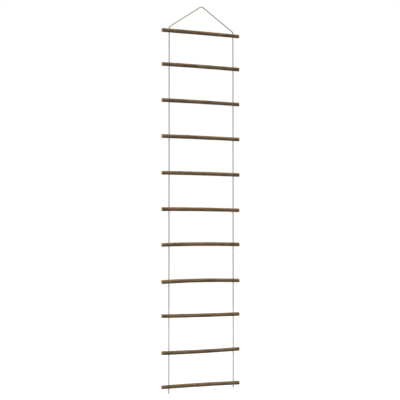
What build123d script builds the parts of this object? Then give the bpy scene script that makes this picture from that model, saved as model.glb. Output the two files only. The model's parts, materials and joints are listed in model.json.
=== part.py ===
"""Hanging rope ladder: natural branch rungs, drilled near both ends and threaded on one rope.

The rope makes a V over the hanging point, runs down through both ends of every rung and
ends in a short tail on each side. +X runs along the rungs, the front faces -Y, +Z is up,
and the origin is the underside of the bend at the top, where the hook bears. Millimetres.
"""
from build123d import *
import os

# Overall layout
RUNG_COUNT = 11
RUNG_LEFT_END = -321.5
RUNG_RIGHT_END = 313.5
RUNG_PITCH = 266
# Each bay was tied by hand, so it is a little shorter or longer than the pitch.
PITCH_ERRORS = (-11, 4, 3, 7, 5, -3, 9, -10, 4, -13)
FIRST_RUNG_DROP = 195.5
ROPE_SPACING = 528
LEFT_TAIL_DROP = 51
RIGHT_TAIL_DROP = 35

# Rope
ROPE_R = 4
PEAK_BEND_R = 20
MOUTH_BEND_R = 10
MOUTH_CORNER_RISE = 6

# Rungs
RUNG_R = 14.2
# How far each branch bows upwards at the middle, and towards the front.
BOWS_UP = (0.7, 1.5, 1.0, 1.2, 1.4, 1.8, 3.2, 4.6, -1.3, -2.6, 1.5)
BOWS_FORWARD = (1.0, -1.5, 2.0, 0.5, -1.0, 1.5, -2.0, 1.0, 2.5, -1.5, 0.5)
# How much higher than its middle the left end hangs; the right end is as much lower.
TILTS = (-0.7, 0, 0.4, 0.7, 0.4, 1.1, -0.8, -0.3, 1.4, -2.2, 1.0)
# Positive where the left end is the thicker one.
TAPERS = (0.4, -0.3, 0.3, 0.4, -0.4, 0.2, -0.3, 0.4, -0.2, 0.3, -0.4)
STATIONS = (-1, -0.825, -0.5, -0.2, 0.2, 0.5, 0.825, 1)
SWELLS = (0.1, 0, 0.4, -0.2, 0.3, -0.3, 0, 0.2)

# Drilled rope holes, and the hinge line just outside each mouth
HOLE_CLEARANCE = 0.5
SINK_DEPTH = 2
SINK_LENGTH = 6
HINGE_OFFSET = 21
CORE_GAP = 0.3

# Pins that lock the rope inside the rungs, driven in from the back
PIN_R = 1
PIN_BACK = 12.9
PIN_FRONT = -10
PIN_HOLE_CLEARANCE = 0.1

# The rope inside a rung ends this far above or below the rung's centre, at a hinge.
CORE_TOP = HINGE_OFFSET - ROPE_R - CORE_GAP
HOLE_XS = (-ROPE_SPACING / 2, ROPE_SPACING / 2)
SIDES = ("left", "right")
PITCHES = [RUNG_PITCH + error for error in PITCH_ERRORS]
RUNG_ZS = [-FIRST_RUNG_DROP - sum(PITCHES[:n]) for n in range(RUNG_COUNT)]


def branch(up, forward, tilt, taper):
    """A bowed round branch. At the rope holes its centre line is at height 0, but for the tilt."""
    middle = (RUNG_LEFT_END + RUNG_RIGHT_END) / 2
    half = (RUNG_RIGHT_END - RUNG_LEFT_END) / 2
    sections = []
    for station, swell in zip(STATIONS, SWELLS):
        x = middle + station * half
        bow = 1 - (x / HOLE_XS[1]) ** 2
        centre = Vector(x, -forward * bow, up * bow - tilt * station)
        plane = Plane(origin=centre, x_dir=(0, 1, 0), z_dir=(1, 0, 0))
        sections.append(plane * Circle(RUNG_R - taper * station + swell))
    return loft(sections)


def rope_hole(x):
    """The tool that drills one rope hole and countersinks both of its mouths."""
    hole_r = ROPE_R + HOLE_CLEARANCE
    tool = Pos(x, 0, 0) * Cylinder(hole_r, 4 * RUNG_R)
    sink = Cone(hole_r, hole_r + SINK_LENGTH, SINK_LENGTH)
    for turn in (0, 180):
        tool += Rot(turn, 0, 0) * Pos(x, 0, RUNG_R - SINK_DEPTH + SINK_LENGTH / 2) * sink
    return tool


def pin(x, clearance=0):
    """One locking pin, or with a clearance the tool that drills its blind hole."""
    back = PIN_BACK if clearance == 0 else 2 * RUNG_R
    length = back - PIN_FRONT + clearance
    middle = (back + PIN_FRONT - clearance) / 2
    return Pos(x, middle, 0) * Rot(90, 0, 0) * Cylinder(PIN_R + clearance, length)


def knuckle(x, z):
    """The rounded rope end that turns about the hinge line along X at height z."""
    upright = Cylinder(ROPE_R, 2 * ROPE_R)
    across = Rot(0, 90, 0) * Cylinder(ROPE_R, 2 * ROPE_R)
    return Pos(x, 0, z) * (upright & across)


def upright_rope(x, top, bottom):
    """A straight upright rope between two heights."""
    return Pos(x, 0, (top + bottom) / 2) * Cylinder(ROPE_R, top - bottom)


def threaded_rope(n, x):
    """The rope through rung n and down to the hinge line above the rung below it."""
    z = RUNG_ZS[n]
    rope = upright_rope(x, z + CORE_TOP, z - CORE_TOP)
    if n + 1 < RUNG_COUNT:
        bottom = RUNG_ZS[n + 1] + HINGE_OFFSET
        rope = upright_rope(x, z + CORE_TOP, bottom) + knuckle(x, bottom)
    return rope - Pos(0, 0, z) * pin(x, PIN_HOLE_CLEARANCE)


def tail(x, drop):
    """The loose rope end below the last rung."""
    top = RUNG_ZS[-1] - HINGE_OFFSET
    return upright_rope(x, top, RUNG_ZS[-1] - drop) + knuckle(x, top)


def yoke():
    """The V of rope over the hanging point, down to the mouths of the first rung."""
    hinge_z = RUNG_ZS[0] + HINGE_OFFSET
    corner_z = hinge_z + MOUTH_CORNER_RISE
    # The bend cuts the corner of the V, so the corner is above the bend.
    peak_z = ROPE_R
    for _ in range(4):
        slant = Vector(HOLE_XS[1], 0, peak_z - corner_z)
        peak_z = ROPE_R + PEAK_BEND_R * (slant.length / slant.X - 1)
    points = [
        (HOLE_XS[0], 0, hinge_z),
        (HOLE_XS[0], 0, corner_z),
        (0, 0, peak_z),
        (HOLE_XS[1], 0, corner_z),
        (HOLE_XS[1], 0, hinge_z),
    ]
    route = FilletPolyline(*points, radius=[MOUTH_BEND_R, PEAK_BEND_R, MOUTH_BEND_R])
    start = Plane(origin=route @ 0, z_dir=route % 0)
    rope = sweep(start * Circle(ROPE_R), path=route)
    for x in HOLE_XS:
        rope += knuckle(x, hinge_z)
    return rope


def save(node, shape):
    """Writes one node's STEP file."""
    shape.label = node
    export_step(shape, f"parts/{node}.step")


def main():
    os.makedirs("parts", exist_ok=True)
    save("yoke_rope", yoke())
    for n, z in enumerate(RUNG_ZS):
        rung = branch(BOWS_UP[n], BOWS_FORWARD[n], TILTS[n], TAPERS[n])
        pins = []
        for side, x in zip(SIDES, HOLE_XS):
            rung -= rope_hole(x)
            rung -= pin(x, PIN_HOLE_CLEARANCE)
            pins.append(pin(x))
            save(f"{side}_rope_{n + 1:02d}", threaded_rope(n, x))
        save(f"rung_{n + 1:02d}", Pos(0, 0, z) * rung)
        save(f"pins_rung_{n + 1:02d}", Pos(0, 0, z) * Compound(pins))

    for side, x, drop in zip(SIDES, HOLE_XS, (LEFT_TAIL_DROP, RIGHT_TAIL_DROP)):
        save(f"{side}_tail", tail(x, drop))


main()
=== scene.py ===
"""Hanging rope ladder: the looks of its branch rungs, its rope and its pins, round the CAD frame.

Metres. +X runs along the rungs, the front faces -Y, +Z is up, and the origin is the
underside of the rope's bend at the top.
"""
import json
import math
import random

import bpy
import numpy as np
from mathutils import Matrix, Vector, noise


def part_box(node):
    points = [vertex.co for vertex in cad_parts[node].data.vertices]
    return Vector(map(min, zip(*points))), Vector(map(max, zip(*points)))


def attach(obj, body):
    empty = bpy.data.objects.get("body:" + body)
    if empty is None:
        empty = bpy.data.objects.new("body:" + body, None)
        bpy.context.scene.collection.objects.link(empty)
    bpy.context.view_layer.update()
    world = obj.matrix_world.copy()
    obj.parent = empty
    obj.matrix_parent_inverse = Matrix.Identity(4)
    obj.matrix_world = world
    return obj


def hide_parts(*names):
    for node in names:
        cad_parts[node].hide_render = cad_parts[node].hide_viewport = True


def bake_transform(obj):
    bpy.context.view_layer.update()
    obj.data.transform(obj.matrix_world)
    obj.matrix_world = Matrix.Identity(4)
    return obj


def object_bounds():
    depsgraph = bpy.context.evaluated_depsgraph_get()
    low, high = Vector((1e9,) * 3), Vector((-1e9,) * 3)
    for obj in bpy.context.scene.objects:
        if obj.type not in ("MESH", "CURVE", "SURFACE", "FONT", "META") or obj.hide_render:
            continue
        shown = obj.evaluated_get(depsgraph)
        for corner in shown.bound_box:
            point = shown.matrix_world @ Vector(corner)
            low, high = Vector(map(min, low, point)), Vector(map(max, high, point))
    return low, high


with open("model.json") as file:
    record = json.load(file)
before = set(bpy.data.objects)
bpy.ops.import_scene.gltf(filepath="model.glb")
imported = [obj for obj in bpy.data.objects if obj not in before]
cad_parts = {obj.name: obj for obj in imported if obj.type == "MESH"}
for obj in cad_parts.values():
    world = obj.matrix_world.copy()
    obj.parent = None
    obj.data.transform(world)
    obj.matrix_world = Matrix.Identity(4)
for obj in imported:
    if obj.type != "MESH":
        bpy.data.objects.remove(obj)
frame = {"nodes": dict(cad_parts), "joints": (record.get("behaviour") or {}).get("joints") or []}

MM = 0.001
CAD_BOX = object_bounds()
SCENE = bpy.context.scene

# The ladder's layout, from the frame
JOINTS = {joint["name"]: joint for joint in frame["joints"]}
SWINGS = sorted(name for name in JOINTS if name.startswith("rung_"))
RUNGS = [name[: len("rung_00")] for name in SWINGS]
HINGE_ZS = [JOINTS[name]["pos_m"][2] for name in SWINGS]
TAIL_HINGE_Z = JOINTS["left_tail_swing"]["pos_m"][2]
HINGE_OFFSET = (HINGE_ZS[-1] - TAIL_HINGE_Z) / 2
RUNG_ZS = [z - HINGE_OFFSET for z in HINGE_ZS]
SIDES = ("left", "right")
ROPE_X = sum(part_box("right_tail")[i].x for i in (0, 1)) / 2
SIDE_X = {"left": -ROPE_X, "right": ROPE_X}
TAIL_END_ZS = {side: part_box(f"{side}_tail")[0].z for side in SIDES}
RUNG_ENDS = {-1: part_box("rung_01")[0].x, 1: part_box("rung_01")[1].x}
RUNG_MIDDLE = (RUNG_ENDS[-1] + RUNG_ENDS[1]) / 2
RUNG_HALF = (RUNG_ENDS[1] - RUNG_ENDS[-1]) / 2

# Camera
CAMERA_DISTANCE = 7.494
CAMERA_AZIMUTH = -23.67
CAMERA_Z = -1.745
CAMERA_PITCH = 1.48
CAMERA_LENS = 89.37
CAMERA_SHIFT = (-0.0037, 0.03)
SENSOR_WIDTH = 36

# Light: an even white world and one broad soft sun, nearly overhead
SUN_DIRECTION = (-0.18, -0.2, 1.0)
SUN_STRENGTH = 8.0
SUN_SPREAD = 50
FLOOR_DROP = 0.3
FLOOR_HALF = 12.0

# Rope
STRANDS = 3
STRAND_R = 1.93 * MM
STRAND_OFFSET = 2.05 * MM
STRAND_LAY = 27 * MM
YARNS = 6
YARN_RIDGE = 0.11 * MM
YARN_LAY = 38 * MM
LINE_STEPS = 48
RING_POINTS = 18
RING_STEP = 1.2 * MM
# Long pieces use every second ring; the short ones use them all.
BAY_STRIDE = 2
NECK_HALF = 8.5 * MM
NECK_MARGIN = 2 * MM

# The rope's corners: in the mouth of the first rung, and over the hanging point
CORNER_RISE = 6 * MM
MOUTH_LEG = 20 * MM
PEAK_LEG = 40 * MM
PEAK_Z = 9.5 * MM

# The strands open a little at the rope's two cut ends.
FRAY = 0.5
FRAY_LENGTH = 11 * MM

# Rungs, with the same bows, tilts, tapers and swells as in the CAD
RUNG_R = 14.2 * MM
HOLE_R = 4.5 * MM
PIN_HOLE_R = 1.1 * MM
BOWS_UP = (0.7, 1.5, 1.0, 1.2, 1.4, 1.8, 3.2, 4.6, -1.3, -2.6, 1.5)
BOWS_FORWARD = (1.0, -1.5, 2.0, 0.5, -1.0, 1.5, -2.0, 1.0, 2.5, -1.5, 0.5)
TILTS = (-0.7, 0, 0.4, 0.7, 0.4, 1.1, -0.8, -0.3, 1.4, -2.2, 1.0)
TAPERS = (0.4, -0.3, 0.3, 0.4, -0.4, 0.2, -0.3, 0.4, -0.2, 0.3, -0.4)
STATIONS = (-1, -0.825, -0.5, -0.2, 0.2, 0.5, 0.825, 1)
SWELLS = (0.1, 0, 0.4, -0.2, 0.3, -0.3, 0, 0.2)
RUNG_STEP = 2.5 * MM
RUNG_POINTS = 56
BARK_THICKNESS = 1.1 * MM
BARK_SWELL = 0.55 * MM
BARK_RIDGES = 0.32 * MM
BARK_GRAIN = 0.07 * MM
SAWN_SHARES = (1.0, 0.78, 0.56, 0.34, 0.12)
SAW_SLANT = 0.05
SAW_SEED = 900
PITH_R = 2.2 * MM
WORN_LENGTH = 8 * MM
END_WEAR = 0.6
# Trimmed side twigs: how big, how high, and how far they stay from the rope holes
KNOT_R = (3.2 * MM, 5.2 * MM)
KNOT_HEIGHT = (0.9 * MM, 1.7 * MM)
KNOT_STRETCH = 1.35
KNOT_CLEARANCE = 25 * MM
KNOT_SEED = 40
# Edges sharper than this many degrees stay sharp.
BARK_EDGE = 42
ROPE_EDGE = 60
DRILL_SEGMENTS = 40
BARK, SAWN = 0, 1
# The flare of a rope hole's mouth: how much wider, and how far from the bark's surface
HOLE_MOUTH = [
    (0.0, -2.6 * MM), (0.3 * MM, -1.8 * MM), (0.9 * MM, -0.9 * MM), (1.9 * MM, 0.0),
    (3.4 * MM, 0.9 * MM), (6.0 * MM, 2.2 * MM), (6.0 * MM, 6.0 * MM),
]
# The right ends are worn rounder than the left ones.
EASES = {-1: 1.3 * MM, 1: 3.2 * MM}
# Each branch's own tone, from olive to reddish
RUNG_TINTS = (
    (78, 67, 48), (82, 69, 50), (84, 69, 50), (87, 70, 51), (91, 74, 55), (90, 68, 50),
    (89, 74, 55), (94, 76, 55), (86, 69, 51), (82, 69, 51), (84, 68, 51),
)


def srgb(red, green, blue):
    """A colour given as it looks on a screen, from 0 to 255, for a shader's socket."""
    def linear(value):
        value /= 255
        return value / 12.92 if value <= 0.04045 else ((value + 0.055) / 1.055) ** 2.4
    return (linear(red), linear(green), linear(blue), 1.0)


# ---------------------------------------------------------------- materials

class Tree:
    """A material's node tree, with short calls to build it."""

    def __init__(self, name):
        self.material = bpy.data.materials.new(name)
        self.material.use_nodes = True
        self.nodes = self.material.node_tree.nodes
        self.links = self.material.node_tree.links
        self.nodes.clear()
        self.shader = self.add("ShaderNodeBsdfPrincipled")
        output = self.add("ShaderNodeOutputMaterial")
        self.links.new(self.shader.outputs["BSDF"], output.inputs["Surface"])

    def add(self, kind, inputs=None, **settings):
        """A node, with its settings, and its inputs as values or as other nodes' outputs."""
        made = self.nodes.new(kind)
        for key, value in settings.items():
            setattr(made, key, value)
        for key, value in (inputs or {}).items():
            if isinstance(value, bpy.types.NodeSocket):
                self.links.new(value, made.inputs[key])
            else:
                made.inputs[key].default_value = value
        return made

    def maths(self, operation, first, second=0.0):
        """One sum, of numbers or of other nodes' outputs."""
        return self.add("ShaderNodeMath", {0: first, 1: second}, operation=operation).outputs[0]

    def plus(self, first, second):
        return self.maths("ADD", first, second)

    def minus(self, first, second):
        return self.maths("SUBTRACT", first, second)

    def times(self, first, second):
        return self.maths("MULTIPLY", first, second)

    def combined(self, x, y, z=0.0):
        """A vector from its three parts."""
        return self.add("ShaderNodeCombineXYZ", {0: x, 1: y, 2: z}).outputs[0]

    def attribute(self, name):
        """A value that the mesh carries on its points."""
        return self.add("ShaderNodeAttribute", attribute_name=name).outputs["Fac"]

    def object_place(self):
        """The place in the piece's own frame."""
        return self.add("ShaderNodeTexCoord").outputs["Object"]

    def placed(self, vector, scale, location=(0, 0, 0)):
        """A vector stretched by a scale and then shifted."""
        inputs = {"Vector": vector, "Scale": scale, "Location": location}
        return self.add("ShaderNodeMapping", inputs).outputs[0]

    def noise(self, vector, scale, detail=4.0, roughness=0.55, distortion=0.0):
        """Cloudy noise, from 0 to 1."""
        inputs = {"Vector": vector, "Scale": scale, "Detail": detail,
                  "Roughness": roughness, "Distortion": distortion}
        return self.add("ShaderNodeTexNoise", inputs).outputs[0]

    def ramp(self, factor, *stops):
        """A colour ramp; each stop is a place from 0 to 1 and a colour or a grey value."""
        made = self.add("ShaderNodeValToRGB", {"Fac": factor})
        elements = made.color_ramp.elements
        while len(elements) < len(stops):
            elements.new(0.5)
        for element, (place, colour) in zip(elements, stops):
            element.position = place
            grey = isinstance(colour, (int, float))
            element.color = (colour, colour, colour, 1) if grey else colour
        return made.outputs[0]

    def mix(self, factor, first, second, blend="MIX"):
        """Two colours mixed."""
        inputs = {0: factor, 6: first, 7: second}
        made = self.add("ShaderNodeMix", inputs, data_type="RGBA", blend_type=blend)
        return made.outputs[2]

    def bump(self, height, strength, distance):
        """A surface direction that follows a height."""
        inputs = {"Height": height, "Strength": strength, "Distance": distance}
        return self.add("ShaderNodeBump", inputs).outputs[0]

    def finish(self, **inputs):
        """Sets or links the shader's sockets, named with underscores, and gives the material."""
        for key, value in inputs.items():
            socket = self.shader.inputs[key.replace("_", " ")]
            if isinstance(value, bpy.types.NodeSocket):
                self.links.new(value, socket)
            else:
                socket.default_value = value
        return self.material


def bark_material(n, tint):
    """Dry thin bark: streaks along the branch, broad patches of tint, pale pores and scars."""
    tree = Tree(f"bark_{n + 1:02d}")
    place = tree.object_place()
    place = tree.placed(place, (1, 1, 1), (0.7 * n, 0.31 * n, 0.17 * n))
    patches = tree.noise(tree.placed(place, (1, 4, 4)), 9.0, 3.0, 0.5)
    patch_colour = tree.ramp(
        patches,
        (0.3, srgb(70, 63, 46)),
        (0.45, tint),
        (0.58, srgb(90, 71, 52)),
        (0.72, srgb(93, 68, 50)),
    )
    streaks = tree.noise(tree.placed(place, (16, 150, 150)), 1.0, 6.0, 0.62, 0.6)
    streak_shade = tree.ramp(streaks, (0.3, 0.42), (0.5, 0.86), (0.68, 1.25))
    colour = tree.mix(1.0, patch_colour, streak_shade, "MULTIPLY")
    furrows = tree.noise(tree.placed(place, (30, 330, 330)), 1.0, 3.0, 0.5, 0.3)
    furrow_and_shade_mask = tree.ramp(furrows, (0.36, 1.0), (0.46, 0.0))
    # Painted shade: the furrows that the bump sinks are darkened as if in shadow, on top of their
    # darker bark.
    colour = tree.mix(tree.times(furrow_and_shade_mask, 0.55), colour, srgb(42, 33, 24))
    pore_inputs = {"Vector": tree.placed(place, (1.5, 1, 1)), "Scale": 190.0}
    pores = tree.add("ShaderNodeTexVoronoi", pore_inputs).outputs["Distance"]
    pore_mask = tree.ramp(pores, (0.1, 1.0), (0.2, 0.0))
    sparse = tree.ramp(tree.noise(place, 75.0, 1.0), (0.5, 0.0), (0.62, 1.0))
    pore_mask = tree.times(pore_mask, sparse)
    colour = tree.mix(tree.times(pore_mask, 0.6), colour, srgb(120, 106, 86))
    scar = tree.attribute("scar")
    scar_colour = tree.ramp(scar, (0.25, srgb(46, 36, 27)), (0.6, srgb(122, 102, 78)))
    colour = tree.mix(tree.ramp(scar, (0.08, 0.0), (0.3, 1.0)), colour, scar_colour)
    wear = tree.attribute("wear")
    worn = tree.times(wear, tree.ramp(streaks, (0.42, 0.2), (0.6, 0.9)))
    colour = tree.mix(worn, colour, srgb(108, 90, 70))
    fine = tree.noise(tree.placed(place, (160, 420, 420)), 1.0, 4.0, 0.6)
    height = tree.plus(tree.times(streaks, 0.7), tree.times(fine, 0.3))
    height = tree.minus(height, tree.times(furrow_and_shade_mask, 0.3))
    height = tree.plus(height, tree.times(pore_mask, 0.25))
    roughness = tree.ramp(streaks, (0.3, 0.95), (0.7, 0.72))
    return tree.finish(
        Base_Color=colour, Roughness=roughness, Specular_IOR_Level=0.08,
        Normal=tree.bump(height, 0.55, 1.1 * MM),
    )


def sawn_material(n, pith):
    """Aged sawn wood: rings round the pith, drying cracks darkened with painted shade, and saw
    marks.
    """
    tree = Tree(f"sawn_wood_{n + 1:02d}")
    place = tree.object_place()
    centred = tree.placed(place, (1, 1, 1), (0, -pith.y, -pith.z))
    rings = tree.add(
        "ShaderNodeTexWave",
        {"Vector": centred, "Scale": 150.0, "Distortion": 2.4, "Detail": 3.0, "Detail Scale": 0.6},
        wave_type="RINGS", rings_direction="X",
    ).outputs["Fac"]
    colour = tree.ramp(
        rings,
        (0.1, srgb(122, 106, 87)),
        (0.55, srgb(148, 132, 111)),
        (0.9, srgb(157, 142, 121)),
    )
    parts = tree.add("ShaderNodeSeparateXYZ", {0: centred}).outputs
    squares = tree.plus(tree.times(parts[1], parts[1]), tree.times(parts[2], parts[2]))
    radius = tree.maths("SQRT", squares)
    angle = tree.maths("ARCTAN2", parts[1], parts[2])
    spokes = tree.combined(angle, tree.times(radius, 60.0), parts[0])
    cracks = tree.noise(spokes, 2.6, 2.0, 0.5, 0.4)
    off_crack = tree.maths("ABSOLUTE", tree.minus(cracks, 0.5))
    crack_and_shade_mask = tree.ramp(off_crack, (0.004, 1.0), (0.02, 0.0))
    # Painted shade: the drying cracks, which the bump sinks, are darkened as if in shadow.
    colour = tree.mix(tree.times(crack_and_shade_mask, 0.85), colour, srgb(52, 42, 34))
    pith_mask = tree.ramp(tree.times(radius, 1 / PITH_R), (0.45, 1.0), (1.0, 0.0))
    colour = tree.mix(tree.times(pith_mask, 0.8), colour, srgb(84, 66, 50))
    grey = tree.noise(place, 120.0, 4.0, 0.6)
    colour = tree.mix(tree.ramp(grey, (0.4, 0.0), (0.65, 0.6)), colour, srgb(128, 120, 108))
    saw = tree.noise(tree.placed(place, (1, 60, 900)), 1.0, 2.0)
    height = tree.plus(tree.times(saw, 0.4), tree.times(rings, 0.4))
    height = tree.minus(height, crack_and_shade_mask)
    roughness = tree.ramp(grey, (0.3, 0.78), (0.7, 0.95))
    return tree.finish(
        Base_Color=colour, Roughness=roughness, Specular_IOR_Level=0.3,
        Normal=tree.bump(height, 0.5, 0.5 * MM),
    )


def rope_material():
    """Natural hemp: yarns that differ a little in tone, with fine fibres along them."""
    tree = Tree("hemp_rope")
    uv = tree.add("ShaderNodeUVMap", uv_map="along_and_round").outputs["UV"]
    parts = tree.add("ShaderNodeSeparateXYZ", {0: uv}).outputs
    along, around = parts[0], parts[1]
    yarn = tree.plus(tree.times(around, float(YARNS)), tree.maths("DIVIDE", along, YARN_LAY))
    tone = tree.noise(tree.combined(tree.times(along, 12.0), yarn), 1.3, 2.0, 0.5)
    colour = tree.ramp(
        tone,
        (0.3, srgb(100, 90, 64)),
        (0.5, srgb(120, 109, 80)),
        (0.7, srgb(140, 129, 100)),
    )
    fibre_place = tree.combined(tree.times(along, 260.0), tree.times(yarn, 9.0))
    fibres = tree.noise(fibre_place, 1.0, 5.0, 0.65, 0.5)
    fibre_shade = tree.ramp(fibres, (0.3, 0.62), (0.52, 1.0), (0.75, 1.16))
    colour = tree.mix(1.0, colour, fibre_shade, "MULTIPLY")
    wave = tree.maths("SINE", tree.times(yarn, 2 * math.pi))
    height = tree.plus(tree.times(wave, 0.25), fibres)
    roughness = tree.ramp(fibres, (0.3, 0.95), (0.7, 0.8))
    return tree.finish(
        Base_Color=colour, Roughness=roughness, Specular_IOR_Level=0.15, Sheen_Weight=0.1,
        Normal=tree.bump(height, 0.6, 0.35 * MM),
    )


def steel_material():
    """Drawn steel wire, a little scratched and dull."""
    tree = Tree("pin_steel_wire")
    place = tree.object_place()
    drawn = tree.noise(tree.placed(place, (2600, 90, 2600)), 1.0, 3.0)
    dull = tree.noise(place, 900.0, 3.0)
    colour = tree.ramp(drawn, (0.35, srgb(150, 150, 150)), (0.7, srgb(196, 196, 194)))
    roughness = tree.ramp(dull, (0.3, 0.28), (0.7, 0.5))
    return tree.finish(
        Base_Color=colour, Roughness=roughness, Metallic=1.0,
        Normal=tree.bump(drawn, 0.2, 0.05 * MM),
    )


def floor_material():
    """A plain pale floor, which the strong light makes white."""
    tree = Tree("studio_floor")
    place = tree.object_place()
    clouds = tree.noise(place, 3.0, 3.0)
    colour = tree.ramp(clouds, (0.3, srgb(151, 151, 151)), (0.7, srgb(155, 155, 155)))
    return tree.finish(Base_Color=colour, Roughness=0.9)


# ---------------------------------------------------------------- camera, light and floor

def make_camera():
    """The camera, in front of the ladder, to its left, and looking very slightly up."""
    azimuth, pitch = math.radians(CAMERA_AZIMUTH), math.radians(CAMERA_PITCH)
    back = Vector((math.sin(azimuth), -math.cos(azimuth), 0))
    ahead = -back * math.cos(pitch) + Vector((0, 0, math.sin(pitch)))
    camera = bpy.data.objects.new("camera", bpy.data.cameras.new("camera"))
    camera.location = back * CAMERA_DISTANCE + Vector((0, 0, CAMERA_Z))
    camera.rotation_mode = "QUATERNION"
    camera.rotation_quaternion = ahead.to_track_quat("-Z", "Y")
    camera.data.lens = CAMERA_LENS
    camera.data.sensor_width = SENSOR_WIDTH
    camera.data.shift_x, camera.data.shift_y = CAMERA_SHIFT
    camera.data.clip_start, camera.data.clip_end = 0.1, 100
    SCENE.collection.objects.link(camera)
    SCENE.camera = camera


def make_studio():
    """White surroundings, a broad soft sun and a pale floor."""
    world = bpy.data.worlds.new("studio")
    world.use_nodes = True
    world.node_tree.nodes["Background"].inputs["Color"].default_value = (1, 1, 1, 1)
    world.node_tree.nodes["Background"].inputs["Strength"].default_value = 1.0
    SCENE.world = world
    SCENE.view_settings.view_transform = "Standard"

    sun = bpy.data.objects.new("sun", bpy.data.lights.new("sun", "SUN"))
    sun.data.energy = SUN_STRENGTH
    sun.data.angle = math.radians(SUN_SPREAD)
    sun.rotation_mode = "QUATERNION"
    sun.rotation_quaternion = Vector(SUN_DIRECTION).to_track_quat("Z", "Y")
    SCENE.collection.objects.link(sun)

    half, z = FLOOR_HALF, CAD_BOX[0].z - FLOOR_DROP
    corners = [(-half, -half, z), (half, -half, z), (half, half, z), (-half, half, z)]
    add_mesh("floor", corners, [(0, 1, 2, 3)], [floor_material()])


# ---------------------------------------------------------------- meshes

def add_mesh(name, points, faces, materials, location=(0, 0, 0)):
    """A piece with its own mesh."""
    mesh = bpy.data.meshes.new(name)
    mesh.from_pydata([tuple(p) for p in points], [], faces)
    for material in materials:
        mesh.materials.append(material)
    piece = bpy.data.objects.new(name, mesh)
    piece.location = location
    SCENE.collection.objects.link(piece)
    return piece


def grid_faces(rows, columns):
    """The quads between rows of points that close on themselves, facing outwards."""
    faces = []
    for row in range(rows - 1):
        for column in range(columns):
            after = (column + 1) % columns
            a, b = row * columns, (row + 1) * columns
            faces.append((a + column, a + after, b + after, b + column))
    return faces


# ---------------------------------------------------------------- rungs

def station_of(x):
    """A place along a branch, from -1 at its left end to 1 at its right end."""
    return (x - RUNG_MIDDLE) / RUNG_HALF


def rung_centre(n, x):
    """The place of the branch's middle, bowed and tilted as in the CAD."""
    bow = 1 - (x / ROPE_X) ** 2
    height = BOWS_UP[n] * bow - TILTS[n] * station_of(x)
    return Vector((x, -BOWS_FORWARD[n] * MM * bow, height * MM))


def rung_radius(n, x):
    """The branch's own radius: its taper and its slow swells."""
    station = station_of(x)
    swell = float(np.interp(station, STATIONS, SWELLS))
    return RUNG_R + (swell - TAPERS[n] * station) * MM


def knots_of(n):
    """Where side twigs were trimmed off: place along the rung, angle, size and height."""
    dice = random.Random(KNOT_SEED + n)
    knots = []
    for _ in range(dice.choice((2, 3, 3, 4))):
        x = dice.uniform(-0.8, 0.8) * RUNG_HALF
        if abs(abs(x) - ROPE_X) < KNOT_CLEARANCE:
            x *= 0.8
        size = dice.uniform(*KNOT_R)
        knots.append((x, dice.uniform(0, 2 * math.pi), size, dice.uniform(*KNOT_HEIGHT)))
    return knots


def bark_relief(n, x, angle, knots):
    """How far the bark stands out at a place, and how much of a knot's scar is there."""
    y, z = math.sin(angle), math.cos(angle)
    seed = 13.7 * n
    slow = noise.noise(Vector((x * 14 + seed, y * 0.9, z * 0.9)))
    ridges = noise.fractal(Vector((x * 30 + seed, y * 5.5, z * 5.5)), 0.8, 2.1, 3)
    fine = noise.noise(Vector((x * 180 + seed, y * 11, z * 11)))
    height = BARK_SWELL * slow + BARK_RIDGES * ridges + BARK_GRAIN * fine
    scar = 0.0
    for knot_x, knot_angle, size, rise in knots:
        turn = math.remainder(angle - knot_angle, 2 * math.pi) * RUNG_R
        along = (x - knot_x) / KNOT_STRETCH
        far = math.hypot(along, turn) / size
        if far < 3.2:
            mound = math.exp(-((far / 1.5) ** 2))
            # The trimmed face is nearly flat, with a small sunk middle.
            height += rise * min(mound, 0.8) - 0.35 * MM * math.exp(-((far / 0.45) ** 2))
            scar = max(scar, min(1.0, max(0.0, 1.35 - 1.2 * far)))
    return height, scar


def end_profile(ease):
    """The rings of one end: how far in from the bark, how far out along x, and the share left."""
    rings = []
    for turn in (25, 50, 75):
        turn = math.radians(turn)
        rings.append((ease * (1 - math.cos(turn)), ease * math.sin(turn), 1.0))
    for share in SAWN_SHARES:
        rings.append((ease + BARK_THICKNESS, ease, share))
    return rings


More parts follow.
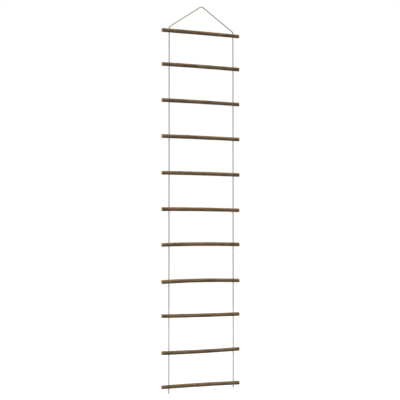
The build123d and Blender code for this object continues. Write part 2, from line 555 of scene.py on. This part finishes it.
def rung_mesh(n):
    """One branch without holes: points, faces, material numbers, and scar and wear values."""
    knots = knots_of(n)
    dice = random.Random(SAW_SEED + n)
    points, scars, wears = [], [], []

    def add_ring(x, inset=0.0, shift=0.0, share=1.0, tilt=(0.0, 0.0), wear=0.0):
        """One ring of points round the branch at x, shifted along it and tilted."""
        centre = rung_centre(n, x)
        for k in range(RUNG_POINTS):
            angle = 2 * math.pi * k / RUNG_POINTS
            height, scar = bark_relief(n, x, angle, knots)
            radius = (rung_radius(n, x) + height - inset) * share
            y, z = radius * math.sin(angle), radius * math.cos(angle)
            points.append(centre + Vector((shift + tilt[0] * y + tilt[1] * z, y, z)))
            scars.append(scar if inset == 0 else 0.0)
            wears.append(wear)

    starts = {end: RUNG_ENDS[end] - end * EASES[end] for end in (-1, 1)}
    tilts = {end: [dice.uniform(-SAW_SLANT, SAW_SLANT) for _ in range(2)] for end in (-1, 1)}
    for inset, out, share in reversed(end_profile(EASES[-1])):
        add_ring(starts[-1], inset, -out, share, tilts[-1], 1.0)
    add_ring(starts[-1], tilt=tilts[-1], wear=END_WEAR)
    count = round((starts[1] - starts[-1]) / RUNG_STEP)
    for x in np.linspace(starts[-1], starts[1], count + 1)[1:-1]:
        near_end = max(0.0, 1 - min(x - starts[-1], starts[1] - x) / WORN_LENGTH)
        add_ring(x, wear=END_WEAR * near_end)
    add_ring(starts[1], tilt=tilts[1], wear=END_WEAR)
    for inset, out, share in end_profile(EASES[1]):
        add_ring(starts[1], inset, out, share, tilts[1], 1.0)

    rows = len(points) // RUNG_POINTS
    faces = grid_faces(rows, RUNG_POINTS)
    kinds = [BARK] * len(faces)
    sawn = (len(SAWN_SHARES) - 1) * RUNG_POINTS
    kinds[:sawn] = kinds[-sawn:] = [SAWN] * sawn
    for first, turned in ((0, True), (len(points) - RUNG_POINTS, False)):
        middle = len(points)
        points.append(sum(points[first : first + RUNG_POINTS], Vector()) / RUNG_POINTS)
        scars.append(0.0)
        wears.append(1.0)
        for k in range(RUNG_POINTS):
            triangle = (first + k, first + (k + 1) % RUNG_POINTS, middle)
            faces.append(triangle[::-1] if turned else triangle)
            kinds.append(SAWN)
    return points, faces, kinds, scars, wears


def lathe(name, profile, materials, location, axis="Z"):
    """A closed turned solid. The profile lists (radius, height) from its bottom to its top."""
    rows = []
    for radius, height in profile:
        row = []
        for k in range(DRILL_SEGMENTS):
            angle = 2 * math.pi * k / DRILL_SEGMENTS
            u, v = radius * math.cos(angle), radius * math.sin(angle)
            row.append(Vector((u, v, height)) if axis == "Z" else Vector((v, height, u)))
        rows.append(row)
    points = [p for row in rows for p in row]
    faces = grid_faces(len(rows), DRILL_SEGMENTS)
    last = len(points) - DRILL_SEGMENTS
    faces.append(tuple(range(DRILL_SEGMENTS))[::-1])
    faces.append(tuple(last + k for k in range(DRILL_SEGMENTS)))
    piece = add_mesh(name, points, faces, materials, location)
    piece.data.polygons.foreach_set("material_index", [SAWN] * len(faces))
    return piece


def cut_away(piece, tools):
    """Cuts the tools out of the piece's mesh and removes them."""
    for tool in tools:
        modifier = piece.modifiers.new("cut", "BOOLEAN")
        modifier.operation = "DIFFERENCE"
        modifier.solver = "EXACT"
        modifier.object = tool
    bpy.context.view_layer.update()
    evaluated = piece.evaluated_get(bpy.context.evaluated_depsgraph_get())
    mesh = bpy.data.meshes.new_from_object(evaluated)
    old = piece.data
    piece.modifiers.clear()
    piece.data = mesh
    bpy.data.meshes.remove(old)
    mesh.name = piece.name
    for tool in tools:
        mesh_of_tool = tool.data
        bpy.data.objects.remove(tool)
        bpy.data.meshes.remove(mesh_of_tool)


def make_rung(n):
    """One branch with its holes drilled, on its CAD body."""
    name = RUNGS[n]
    pith = rung_centre(n, RUNG_ENDS[-1])
    materials = [bark_material(n, srgb(*RUNG_TINTS[n])), sawn_material(n, pith)]
    points, faces, kinds, scars, wears = rung_mesh(n)
    location = Vector((0, 0, RUNG_ZS[n]))
    piece = add_mesh(f"branch_{n + 1:02d}", points, faces, materials, location)
    piece.data.polygons.foreach_set("material_index", kinds)
    piece.data.attributes.new("scar", "FLOAT", "POINT").data.foreach_set("value", scars)
    piece.data.attributes.new("wear", "FLOAT", "POINT").data.foreach_set("value", wears)

    mouth = [(HOLE_R + wider, RUNG_R + height) for wider, height in HOLE_MOUTH]
    hole = [(radius, -height) for radius, height in reversed(mouth)] + mouth
    pin_hole = [(PIN_HOLE_R, 0.4 * RUNG_R), (PIN_HOLE_R, 1.4 * RUNG_R)]
    tools = []
    for x in SIDE_X.values():
        tools.append(lathe("drill", hole, materials, location + rung_centre(n, x)))
        tools.append(lathe("pin_drill", pin_hole, materials, location + Vector((x, 0, 0)), "Y"))
    cut_away(piece, tools)
    piece.data.polygons.foreach_set("use_smooth", [True] * len(piece.data.polygons))
    piece.data.set_sharp_from_angle(angle=math.radians(BARK_EDGE))
    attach(piece, name)
    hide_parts(name)


# ---------------------------------------------------------------- rope

def rope_route():
    """The rope's control points, from the left tail over the hanging point to the right tail."""
    corner_z = HINGE_ZS[0] + CORNER_RISE
    slant = Vector((ROPE_X, 0, PEAK_Z - corner_z)).normalized()
    left = [
        Vector((-ROPE_X, 0, TAIL_END_ZS["left"])),
        Vector((-ROPE_X, 0, corner_z - MOUTH_LEG)),
        Vector((-ROPE_X, 0, corner_z)),
        Vector((-ROPE_X, 0, corner_z)) + slant * MOUTH_LEG,
        Vector((0, 0, PEAK_Z)) - slant * PEAK_LEG,
    ]
    right = [Vector((-p.x, 0, p.z)) for p in reversed(left)]
    right[-1].z = TAIL_END_ZS["right"]
    return left + [Vector((0, 0, PEAK_Z))] + right


def smooth_line(points):
    """The points of the smooth NURBS line that these control points make."""
    curve = bpy.data.curves.new("route", "CURVE")
    curve.dimensions = "3D"
    spline = curve.splines.new("NURBS")
    spline.points.add(len(points) - 1)
    for point, place in zip(spline.points, points):
        point.co = (*place, 1)
    spline.order_u = 3
    spline.use_endpoint_u = True
    spline.resolution_u = LINE_STEPS
    route = bpy.data.objects.new("route", curve)
    mesh = bpy.data.meshes.new_from_object(route)
    line = np.array([v.co for v in mesh.vertices], float)
    bpy.data.objects.remove(route)
    bpy.data.curves.remove(curve)
    bpy.data.meshes.remove(mesh)
    return line


def unit(vectors):
    """Each row made one long."""
    return vectors / np.linalg.norm(vectors, axis=1)[:, None]


class Rope:
    """The whole rope: its rings' middles, evenly spaced along the route, and its strands."""

    def __init__(self):
        line = smooth_line(rope_route())
        along = np.concatenate([[0], np.cumsum(np.linalg.norm(np.diff(line, axis=0), axis=1))])
        count = round(along[-1] / RING_STEP)
        self.along = np.linspace(0, along[-1], count + 1)
        columns = [np.interp(self.along, along, line[:, k]) for k in range(3)]
        self.middles = np.stack(columns, axis=1)
        ahead = unit(np.gradient(self.middles, axis=0))
        depth = np.array([0.0, 1.0, 0.0])
        across = np.cross(ahead, depth)
        to_end = np.minimum(self.along, self.along[-1] - self.along)
        offset = STRAND_OFFSET * (1 + FRAY * np.clip(1 - to_end / FRAY_LENGTH, 0, 1) ** 2)
        self.strands = []
        for strand in range(STRANDS):
            turn = 2 * math.pi * (self.along / STRAND_LAY + strand / STRANDS)
            outward = np.cos(turn)[:, None] * across + np.sin(turn)[:, None] * depth
            self.strands.append((self.middles + offset[:, None] * outward, outward))

    def ring_at(self, side, z):
        """The number of the ring that is nearest to a height on one side's upright."""
        half = len(self.middles) // 2
        zs = self.middles[:half, 2] if side == "left" else self.middles[half:, 2]
        return int(np.abs(zs - z).argmin()) + (0 if side == "left" else half)

    def stretch(self, name, first, last, stride=1):
        """A piece of rope between two rings, as its strands, with caps at both ends."""
        first, last = sorted((first, last))
        rings = np.append(np.arange(first, last, stride), last)
        rows, along = len(rings), self.along[rings]
        points = np.empty((STRANDS, rows, RING_POINTS, 3))
        for strand, (centres, outward) in enumerate(self.strands):
            ahead = unit(np.gradient(centres, axis=0)[rings])
            up = unit(outward[rings] - (outward[rings] * ahead).sum(1)[:, None] * ahead)
            side = np.cross(ahead, up)
            for k in range(RING_POINTS):
                # The seam is on the rope's inside.
                angle = math.pi + 2 * math.pi * k / RING_POINTS
                yarn = YARNS * k / RING_POINTS + along / YARN_LAY
                radius = STRAND_R + YARN_RIDGE * np.cos(2 * math.pi * yarn)
                spoke = math.cos(angle) * up + math.sin(angle) * side
                points[strand, :, k] = centres[rings] + radius[:, None] * spoke
        faces, uvs = [], []
        for strand in range(STRANDS):
            base = strand * rows * RING_POINTS
            for row in range(rows - 1):
                a, b = base + row * RING_POINTS, base + (row + 1) * RING_POINTS
                for k in range(RING_POINTS):
                    after = (k + 1) % RING_POINTS
                    faces.append((a + k, b + k, b + after, a + after))
                    low, high = along[row], along[row + 1]
                    v, w = strand + k / RING_POINTS, strand + (k + 1) / RING_POINTS
                    uvs += [(low, v), (high, v), (high, w), (low, w)]
            for row in (0, rows - 1):
                cap = [base + row * RING_POINTS + k for k in range(RING_POINTS)]
                faces.append(cap[::-1] if row else cap)
                uvs += [(along[row], strand + 0.5)] * RING_POINTS
        piece = add_mesh(name, points.reshape(-1, 3), faces, [MATERIALS["rope"]])
        mesh = piece.data
        layer = mesh.uv_layers.new(name="along_and_round")
        layer.data.foreach_set("uv", np.array(uvs, np.float32).ravel())
        mesh.polygons.foreach_set("use_smooth", [True] * len(mesh.polygons))
        mesh.set_sharp_from_angle(angle=math.radians(ROPE_EDGE))
        return piece, self.middles[rings]


def make_rope():
    """The whole rope in pieces: the long ones each on the body of the CAD rope that it replaces,
    the short necks at the hinges on no body.
    """
    rope = Rope()
    reach = NECK_HALF + NECK_MARGIN

    def neck(name, side, z, upper_body, lower_body):
        """The short stretch where the rope leaves a rung at a hinge."""
        piece, _ = rope.stretch(name, rope.ring_at(side, z + reach), rope.ring_at(side, z - reach))
        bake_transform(piece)
        return piece

    ends = [rope.ring_at(side, HINGE_ZS[0] + reach) for side in SIDES]
    yoke, path = rope.stretch("yoke_strands", *ends, BAY_STRIDE)
    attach(yoke, "yoke")
    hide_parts("yoke_rope")
    necks = {side: neck(f"{side}_neck_01", side, HINGE_ZS[0], "yoke", RUNGS[0]) for side in SIDES}
    for side in SIDES:
        for n, body in enumerate(RUNGS[:-1]):
            top, bottom = HINGE_ZS[n] - reach, HINGE_ZS[n + 1] + reach
            ends = [rope.ring_at(side, z) for z in (top, bottom)]
            piece, path = rope.stretch(f"{side}_bay_{n + 1:02d}", *ends, BAY_STRIDE)
            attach(piece, body)
            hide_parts(f"{side}_rope_{n + 1:02d}")
            below = [neck(f"{side}_neck_{n + 2:02d}", side, HINGE_ZS[n + 1], body, RUNGS[n + 1])]
            if n + 2 == len(RUNGS):
                below += make_tail(rope, side, neck, reach)


def make_tail(rope, side, neck, reach):
    """The rope inside the last rung, the bend under it and the loose end."""
    last = RUNGS[-1]
    ends = [rope.ring_at(side, z) for z in (HINGE_ZS[-1] - reach, TAIL_HINGE_Z + reach)]
    core, _ = rope.stretch(f"{side}_core", *ends)
    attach(core, last)
    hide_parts(f"{side}_rope_{len(RUNGS):02d}")
    body = f"{side}_tail"
    bend = neck(f"{side}_tail_neck", side, TAIL_HINGE_Z, last, body)
    ends = [rope.ring_at(side, z) for z in (TAIL_HINGE_Z - reach, TAIL_END_ZS[side])]
    loose, _ = rope.stretch(f"{side}_loose_end", *ends)
    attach(loose, body)
    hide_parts(body)
    return [core, bend, loose]


# ---------------------------------------------------------------- the scene

make_camera()
make_studio()
MATERIALS = {"rope": rope_material(), "steel": steel_material()}
make_rope()
for number in range(len(RUNGS)):
    make_rung(number)
    pins = frame["nodes"][f"pins_{RUNGS[number]}"]
    pins.data.materials.clear()
    pins.data.materials.append(MATERIALS["steel"])
